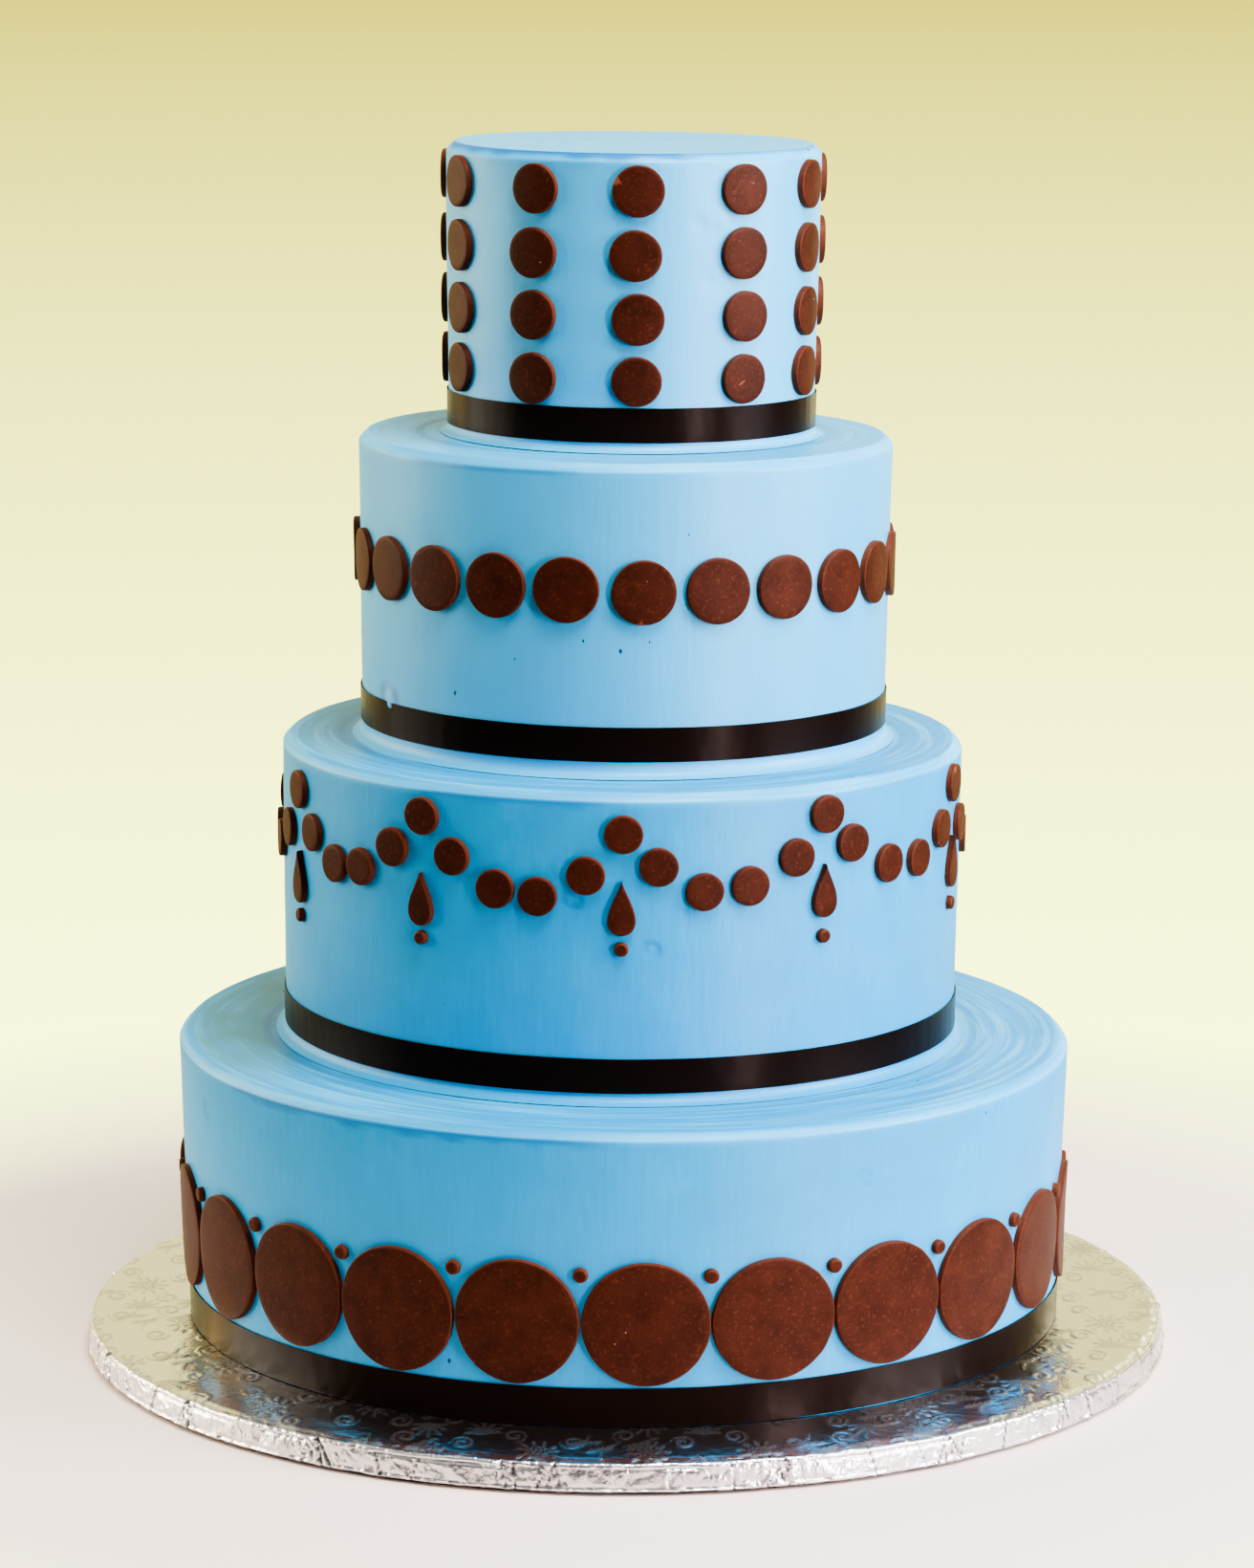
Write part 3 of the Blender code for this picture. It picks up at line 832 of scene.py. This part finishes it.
def mixColours(tree, share, first, second):
    mix = addNode(tree, "ShaderNodeMix", data_type="RGBA")
    for socket, value in zip((mix.inputs[0], mix.inputs[6], mix.inputs[7]), (share, first, second)):
        if hasattr(value, "is_output"):
            tree.links.new(value, socket)
        else:
            socket.default_value = value
    return mix.outputs[2]


def stretchedNoise(tree, source, scale, detail=3.0, roughness=0.55):
    mapping = addNode(tree, "ShaderNodeMapping", Scale=scale)
    texture = addNode(tree, "ShaderNodeTexNoise", Scale=1.0, Detail=detail, Roughness=roughness)
    tree.links.new(source, mapping.inputs["Vector"])
    tree.links.new(mapping.outputs[0], texture.inputs["Vector"])
    return texture.outputs["Fac"]


def span(tree, source, low, high, newLow=0.0, newHigh=1.0):
    ranged = addNode(tree, "ShaderNodeMapRange")
    for index, value in enumerate((low, high, newLow, newHigh)):
        ranged.inputs[index + 1].default_value = value
    tree.links.new(source, ranged.inputs[0])
    return ranged.outputs[0]


def calculate(tree, operation, first, second):
    node = addNode(tree, "ShaderNodeMath", operation=operation)
    tree.links.new(first, node.inputs[0])
    tree.links.new(second, node.inputs[1])
    return node.outputs[0]


def addBump(tree, height, distance, strength=1.0, normal=None):
    bump = addNode(tree, "ShaderNodeBump", Strength=strength, Distance=distance)
    tree.links.new(height, bump.inputs["Height"])
    if normal:
        tree.links.new(normal, bump.inputs["Normal"])
    return bump.outputs[0]


def cellSpots(tree, source, scale, share, size):
    # round spots in some cells of a Voronoi pattern: 1 inside a spot, 0 outside
    mapping = addNode(tree, "ShaderNodeMapping", Scale=scale)
    texture = addNode(tree, "ShaderNodeTexVoronoi", Scale=1.0)
    tree.links.new(source, mapping.inputs["Vector"])
    tree.links.new(mapping.outputs[0], texture.inputs["Vector"])
    axes = addNode(tree, "ShaderNodeSeparateXYZ")
    tree.links.new(texture.outputs["Color"], axes.inputs[0])
    chosen = span(tree, axes.outputs["X"], 1 - share, 1.0, -0.3 * size, size)
    return span(tree, calculate(tree, "SUBTRACT", chosen, texture.outputs["Distance"]), -0.012, 0.012)


def readValue(tree, name):
    return addNode(tree, "ShaderNodeAttribute", attribute_name=name).outputs["Fac"]


# colours: the paler blue serves painted light and stroke streaks, the deeper blue a ragged line and painted
# shade; the dark greenish blue is painted shade, the darkest blue painted shade in pits
icingLook = {"soft": (0.018, 0.335, 0.63, 1), "base": (0.011, 0.31, 0.60, 1),
             "streak": (0.010, 0.285, 0.58, 1), "deep": (0.000, 0.165, 0.41, 1),
             "pale": (0.12, 0.52, 0.80, 1), "cloud": (0.026, 0.29, 0.49, 1),
             "paintedShade": (0.036, 0.23, 0.31, 1), "pitShade": (0.001, 0.040, 0.15, 1), "rough": 0.42, "shine": 0.38}


def blueIcing():
    tree, shader = newMaterial("blue_icing")
    place = addNode(tree, "ShaderNodeAttribute", attribute_name="strokePlace").outputs["Vector"]
    onTop = readValue(tree, "topShare")
    fineStreaks = stretchedNoise(tree, place, (430, 430, 60))
    broadStreaks = stretchedNoise(tree, place, (60, 60, 24), 4.0)
    wallStreaks = mixColours(tree, 0.35, fineStreaks, broadStreaks)
    topStreaks = stretchedNoise(tree, place, (11, 11, 330), 4.0)
    streaks = mixColours(tree, onTop, wallStreaks, topStreaks)
    patches = stretchedNoise(tree, place, (26, 26, 34), 4.0)
    colour = mixColours(tree, span(tree, patches, 0.35, 0.68), icingLook["base"], icingLook["soft"])
    clouds = stretchedNoise(tree, place, (17, 17, 21), 5.0, 0.65)
    colour = mixColours(tree, span(tree, clouds, 0.50, 0.70, 0.0, 0.75), colour, icingLook["cloud"])
    colour = mixColours(tree, span(tree, streaks, 0.60, 0.34, 0.0, 0.65), colour, icingLook["streak"])
    # pale stroke streaks on the tops, their share raised as painted light that brightens the tops
    streaksAndPaintedTopLight = span(tree, topStreaks, 0.46, 0.66, 0.0, 0.68)
    colour = mixColours(tree, calculate(tree, "MULTIPLY", streaksAndPaintedTopLight, onTop), colour, icingLook["pale"])
    # painted light, painted shade and the deeper blue, which holds painted shade and reflection as well
    for share, look in (("paintedLightShare", "pale"), ("paintedShadeShare", "paintedShade"), ("deepShare", "deep")):
        colour = mixColours(tree, readValue(tree, share), colour, icingLook[look])
    # painted shade: small dark spots stand in for the shade inside pits, which the bump only dents
    wallPits = cellSpots(tree, place, (66, 66, 46), 0.46, 0.085)
    topPits = cellSpots(tree, place, (36, 36, 110), 0.50, 0.085)
    pits = mixColours(tree, onTop, wallPits, topPits)
    colour = mixColours(tree, pits, colour, icingLook["pitShade"])
    tree.links.new(colour, shader.inputs["Base Color"])
    grain = stretchedNoise(tree, place, (1500, 1500, 1500), 2.0)
    normal = addBump(tree, calculate(tree, "SUBTRACT", streaks, pits), 0.0003, 0.5)
    normal = addBump(tree, grain, 0.00005, 0.4, normal)
    tree.links.new(normal, shader.inputs["Normal"])
    shader.inputs["Roughness"].default_value = icingLook["rough"]
    shader.inputs["IOR"].default_value = 1.5
    shader.inputs["Specular IOR Level"].default_value = icingLook["shine"]


# the lighter red serves a random mottle and a painted highlight on the sharp edges
chocolateLook = {"dark": (0.046, 0.0122, 0.0068, 1), "base": (0.072, 0.0190, 0.0105, 1),
                 "rim": (0.24, 0.075, 0.040, 1), "speck": (0.40, 0.27, 0.22, 1), "rough": 0.48, "shine": 0.14,
                 "tint": (1.0, 0.72, 0.60, 1)}


def chocolate():
    tree, shader = newMaterial("chocolate")
    place = addNode(tree, "ShaderNodeTexCoord").outputs["Object"]
    cloud = stretchedNoise(tree, place, (75, 75, 75), 6.0, 0.7)
    colour = mixColours(tree, span(tree, cloud, 0.35, 0.65), chocolateLook["dark"], chocolateLook["base"])
    mottle = stretchedNoise(tree, place, (620, 620, 620), 3.0)
    colour = mixColours(tree, span(tree, mottle, 0.56, 0.76, 0.0, 0.30), colour, chocolateLook["rim"])
    # painted highlight: the sharp edges are painted lighter and redder, as where they catch the light
    paintedEdgeHighlight = addNode(tree, "ShaderNodeNewGeometry").outputs["Pointiness"]
    colour = mixColours(tree, span(tree, paintedEdgeHighlight, 0.52, 0.60, 0.0, 0.85), colour, chocolateLook["rim"])
    specks = cellSpots(tree, place, (210, 210, 210), 0.10, 0.075)
    colour = mixColours(tree, specks, colour, chocolateLook["speck"])
    tree.links.new(colour, shader.inputs["Base Color"])
    scratches = stretchedNoise(tree, place, (160, 160, 1500), 2.0)
    grain = stretchedNoise(tree, place, (900, 900, 900), 3.0)
    normal = addBump(tree, grain, 0.00008, 0.5)
    normal = addBump(tree, scratches, 0.00008, 0.3, normal)
    tree.links.new(normal, shader.inputs["Normal"])
    shader.inputs["Roughness"].default_value = chocolateLook["rough"]
    shader.inputs["Specular IOR Level"].default_value = chocolateLook["shine"]
    shader.inputs["Specular Tint"].default_value = chocolateLook["tint"]


satinLook = {"dark": (0.0080, 0.0040, 0.0030, 1), "base": (0.0170, 0.0085, 0.0060, 1), "rough": 0.30,
             "spread": 0.75, "upright": 0.25, "shine": 0.09, "tint": (1.0, 0.80, 0.74, 1)}


def satinRibbon():
    # the weave spreads a highlight up and down
    tree, shader = newMaterial("satin_ribbon")
    uv = addNode(tree, "ShaderNodeTexCoord").outputs["UV"]
    threads = stretchedNoise(tree, uv, (2600, 40, 1), 2.0)
    colour = mixColours(tree, span(tree, threads, 0.3, 0.7), satinLook["dark"], satinLook["base"])
    tree.links.new(colour, shader.inputs["Base Color"])
    tree.links.new(addBump(tree, threads, 0.00004, 0.6), shader.inputs["Normal"])
    shader.inputs["Roughness"].default_value = satinLook["rough"]
    shader.inputs["Anisotropic"].default_value = satinLook["spread"]
    shader.inputs["Anisotropic Rotation"].default_value = satinLook["upright"]
    shader.inputs["Specular IOR Level"].default_value = satinLook["shine"]
    shader.inputs["Specular Tint"].default_value = satinLook["tint"]


# the edge foil is rougher, and its colour is painted darker than the top as shade on the side
foilLook = {"top": (0.88, 0.85, 0.86, 1), "pressed": (0.66, 0.63, 0.62, 1), "edge": (0.72, 0.68, 0.69, 1),
            "creaseAndFootShadeColour": (0.10, 0.09, 0.10, 1), "topRough": (0.20, 0.20, 0.20, 1),
            "edgeRough": (0.30, 0.30, 0.30, 1), "pressedRough": (0.34, 0.34, 0.34, 1)}


def silverFoil():
    tree, shader = newMaterial("silver_foil")
    place = addNode(tree, "ShaderNodeTexCoord").outputs["Object"]
    pressed = readValue(tree, "pressed")
    onEdge = readValue(tree, "onEdge")
    crinkle = stretchedNoise(tree, place, (150, 150, 150), 4.0)
    wrinkle = stretchedNoise(tree, place, (190, 190, 130), 3.0, 0.5)
    sparkle = stretchedNoise(tree, place, (1300, 1300, 1300), 2.0)
    normal = addBump(tree, crinkle, 0.0010, 0.5)
    normal = addBump(tree, calculate(tree, "MULTIPLY", wrinkle, onEdge), 0.0016, 0.7, normal)
    frosted = calculate(tree, "MULTIPLY", sparkle, span(tree, pressed, 0.0, 0.6, 0.10, 1.0))
    normal = addBump(tree, frosted, 0.00030, 0.6, normal)
    tree.links.new(normal, shader.inputs["Normal"])
    rough = mixColours(tree, onEdge, foilLook["topRough"], foilLook["edgeRough"])
    rough = mixColours(tree, span(tree, pressed, 0.2, 1.1), rough, foilLook["pressedRough"])
    tree.links.new(rough, shader.inputs["Roughness"])
    # painted shade in the creases and painted shadow along the foot of the edge
    edgeColour = mixColours(tree, readValue(tree, "paintedCreaseAndFootShade"), foilLook["edge"], foilLook["creaseAndFootShadeColour"])
    topColour = mixColours(tree, span(tree, pressed, 0.15, 0.9), foilLook["top"], foilLook["pressed"])
    tree.links.new(mixColours(tree, onEdge, topColour, edgeColour), shader.inputs["Base Color"])
    shader.inputs["Metallic"].default_value = 1.0


blueIcing()
chocolate()
satinRibbon()
silverFoil()
for tierName in tierSizes:
    modelTier(tierName)
for tierName in tierSizes:
    modelRibbon(tierName)
layBigDiscs()
layMiddleDiscs()
layBeads()
laySwags()
laySmallDiscs()
modelBoard()


# Floor, light and camera

floorLook = {"radius": 0.74, "solid": 0.40, "gone": 0.72, "colour": (0.88, 0.73, 0.66, 1)}
roomLook = {"ambient": (0.03, 0.03, 0.03, 1), "above": (0.36, 0.37, 0.37, 1), "wall": (1.0, 0.95, 0.46, 1),
            "high": (0.95, 0.86, 0.165, 1), "low": (3.034, 3.32, 1.06, 1)}
lamps = {  # azimuth and elevation seen from the cake, distance, size, power, colour
    "right": (70, 18, 1.6, (0.52, 1.1), 32, (0.93, 0.93, 1.0)),
    "far_right": (86, 15, 1.6, (0.30, 0.9), 9, (0.78, 0.89, 1.0)),
    "slit": (41, 3, 2.4, (0.22, 1.4), 42, (1.0, 0.90, 0.95)),
    "high": (30, 64, 1.6, (0.7, 0.7), 31, (0.95, 1.0, 1.0)),
    "left": (-100, 14, 2.2, (1.5, 1.5), 50, (1.0, 0.97, 0.80)),
    "back_left": (-130, 12, 2.4, (0.6, 1.3), 8, (1.0, 0.68, 0.30)),
    "back_right": (150, 12, 2.4, (0.6, 1.3), 4, (1.0, 0.93, 0.65)),
}


def areaLight(name, azimuth, elevation, distance, size, power, colour):
    light = bpy.data.lights.new(name, "AREA")
    light.shape = "RECTANGLE"
    light.size, light.size_y = size
    light.energy = power
    light.color = colour
    lamp = bpy.data.objects.new(name, light)
    turn, rise = math.radians(azimuth), math.radians(elevation)
    aim = Vector((0, 0, 0.28))
    away = Vector((math.sin(turn) * math.cos(rise), -math.cos(turn) * math.cos(rise), math.sin(rise)))
    lamp.location = aim + away * distance
    lamp.rotation_euler = away.to_track_quat("Z", "Y").to_euler()
    bpy.context.scene.collection.objects.link(lamp)


def layFloor():
    # a pale table top whose far edge fades softly into the room
    deselectAll()
    bpy.ops.mesh.primitive_circle_add(vertices=128, radius=floorLook["radius"], fill_type="NGON",
                                      location=(0, 0, -0.0002))
    floor = bpy.context.object
    floor.name = "floor"
    tree, shader = newMaterial("floor_pale")
    shader.inputs["Base Color"].default_value = floorLook["colour"]
    shader.inputs["Roughness"].default_value = 0.6
    reach = addNode(tree, "ShaderNodeVectorMath", operation="LENGTH")
    tree.links.new(addNode(tree, "ShaderNodeTexCoord").outputs["Object"], reach.inputs[0])
    fade = span(tree, reach.outputs["Value"], floorLook["solid"], floorLook["gone"], 1.0, 0.0)
    tree.links.new(fade, shader.inputs["Alpha"])
    floor.data.materials.append(materials["floor_pale"])


def lightRoom():
    # dim room with a lit cream wall behind the cake
    world = bpy.data.worlds.new("room")
    bpy.context.scene.world = world
    world.use_nodes = True
    tree = world.node_tree
    background = tree.nodes["Background"]
    way = addNode(tree, "ShaderNodeTexCoord").outputs["Generated"]
    axes = addNode(tree, "ShaderNodeSeparateXYZ")
    tree.links.new(way, axes.inputs[0])
    behind = span(tree, axes.outputs["Y"], 0.30, 0.80)
    overhead = span(tree, axes.outputs["Z"], 0.25, 0.60)
    lit = mixColours(tree, overhead, roomLook["ambient"], roomLook["above"])
    lit = mixColours(tree, behind, lit, roomLook["wall"])
    seen = mixColours(tree, span(tree, axes.outputs["Z"], -0.255, -0.033), roomLook["low"], roomLook["high"])
    rays = addNode(tree, "ShaderNodeLightPath")
    colour = mixColours(tree, rays.outputs["Is Camera Ray"], lit, seen)
    tree.links.new(colour, background.inputs["Color"])
    for name, (azimuth, elevation, distance, size, power, tint) in lamps.items():
        areaLight(name, azimuth, elevation, distance, size, power, tint)


def developPicture():
    # a camera's response: bright blues go pale, dark ones stay deep
    view = bpy.context.scene.view_settings
    view.view_transform = "AgX"
    view.look = "AgX - High Contrast"


def placeCamera():
    lens = bpy.data.cameras.new("camera")
    lens.lens = 120.30
    lens.sensor_width = 36
    camera = bpy.data.objects.new("camera", lens)
    camera.location = (0.0005, -2.4209, 0.70855)
    camera.rotation_euler = (math.radians(90 - 10.378), 0, 0)
    bpy.context.scene.collection.objects.link(camera)
    bpy.context.scene.camera = camera


layFloor()
lightRoom()
developPicture()
placeCamera()
